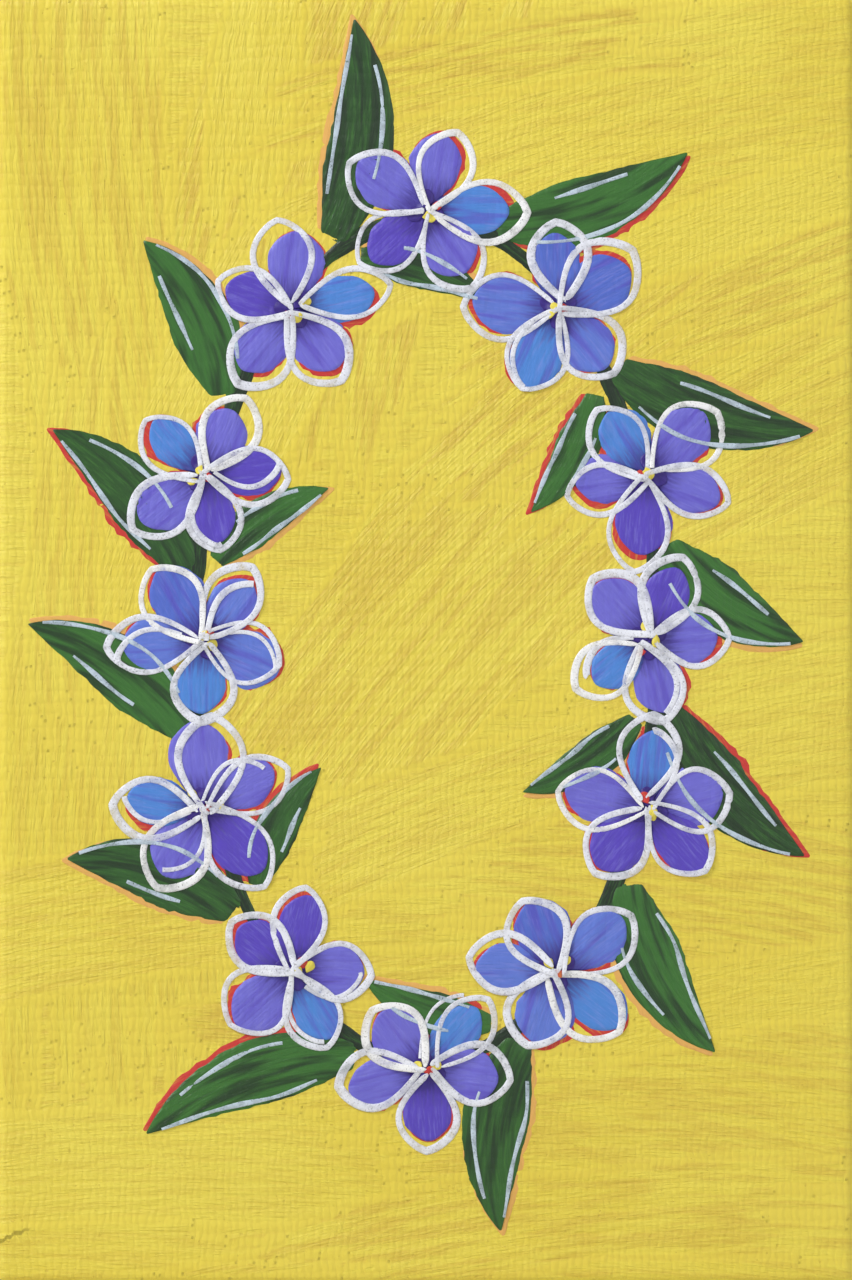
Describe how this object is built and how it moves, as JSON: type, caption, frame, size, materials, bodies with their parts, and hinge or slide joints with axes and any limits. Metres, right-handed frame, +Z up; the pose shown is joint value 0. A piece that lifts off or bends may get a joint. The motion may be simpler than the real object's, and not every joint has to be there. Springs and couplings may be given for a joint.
{
  "type": "stretched canvas painting",
  "caption": "Small upright canvas on a keyed wooden stretcher, its face painted with a wreath of violet blossoms and green leaves on a brushed yellow ground.",
  "frame": {"origin": "middle of the bottom edge, halfway through the stretcher's depth", "axes": "+Z up the canvas, +Y out of its back, painted face towards -Y, +X to the right of someone looking at the painting"},
  "size_m": [0.1, 0.0177, 0.15],
  "materials": {
    "cloth": "plain-weave cotton, primed off-white outside",
    "pine": "planed, unvarnished softwood",
    "staple_steel": "bright zinc-plated wire",
    "ground_yellow": "brushed acrylic, satin, with bristle marks",
    "vine_green": "acrylic, satin",
    "leaf_green": "acrylic, satin, streaked lengthwise",
    "leaf_dark": "acrylic, satin, streaked lengthwise",
    "petal_violet": "acrylic, satin",
    "petal_deep": "acrylic, satin"
  },
  "bodies": {
    "root": {"canvas": "cloth", "top_rail": "pine", "right_stile": "pine", "bottom_rail": "pine", "left_stile": "pine", "key_top_rail_a": "pine", "key_top_rail_b": "pine", "key_right_stile_a": "pine", "key_right_stile_b": "pine", "key_bottom_rail_a": "pine", "key_bottom_rail_b": "pine", "key_left_stile_a": "pine", "key_left_stile_b": "pine", "staple_01": "staple_steel", "staple_02": "staple_steel", "staple_03": "staple_steel", "staple_04": "staple_steel", "staple_05": "staple_steel", "staple_06": "staple_steel", "staple_07": "staple_steel", "staple_08": "staple_steel", "staple_09": "staple_steel", "staple_10": "staple_steel", "staple_11": "staple_steel", "staple_12": "staple_steel", "staple_13": "staple_steel", "staple_14": "staple_steel", "painted_ground": "ground_yellow", "painted_vine": "vine_green", "painted_leaf_01": "leaf_green", "painted_leaf_02": "leaf_dark", "painted_leaf_03": "leaf_green", "painted_leaf_04": "leaf_dark", "painted_leaf_05": "leaf_green", "painted_leaf_06": "leaf_dark", "painted_leaf_07": "leaf_green", "painted_leaf_08": "leaf_dark", "painted_leaf_09": "leaf_green", "painted_leaf_10": "leaf_dark", "painted_leaf_11": "leaf_green", "painted_leaf_12": "leaf_dark", "painted_small_leaf_1": "leaf_dark", "painted_small_leaf_2": "leaf_green", "painted_small_leaf_3": "leaf_dark", "painted_small_leaf_4": "leaf_green", "painted_small_leaf_5": "leaf_dark", "painted_small_leaf_6": "leaf_green", "painted_blossom_01": "petal_deep", "painted_blossom_02": "petal_violet", "painted_blossom_03": "petal_violet", "painted_blossom_04": "petal_deep", "painted_blossom_05": "petal_violet", "painted_blossom_06": "petal_violet", "painted_blossom_07": "petal_deep", "painted_blossom_08": "petal_violet", "painted_blossom_09": "petal_violet", "painted_blossom_10": "petal_deep", "painted_blossom_11": "petal_violet", "painted_blossom_12": "petal_violet"}
  },
  "joints": []
}
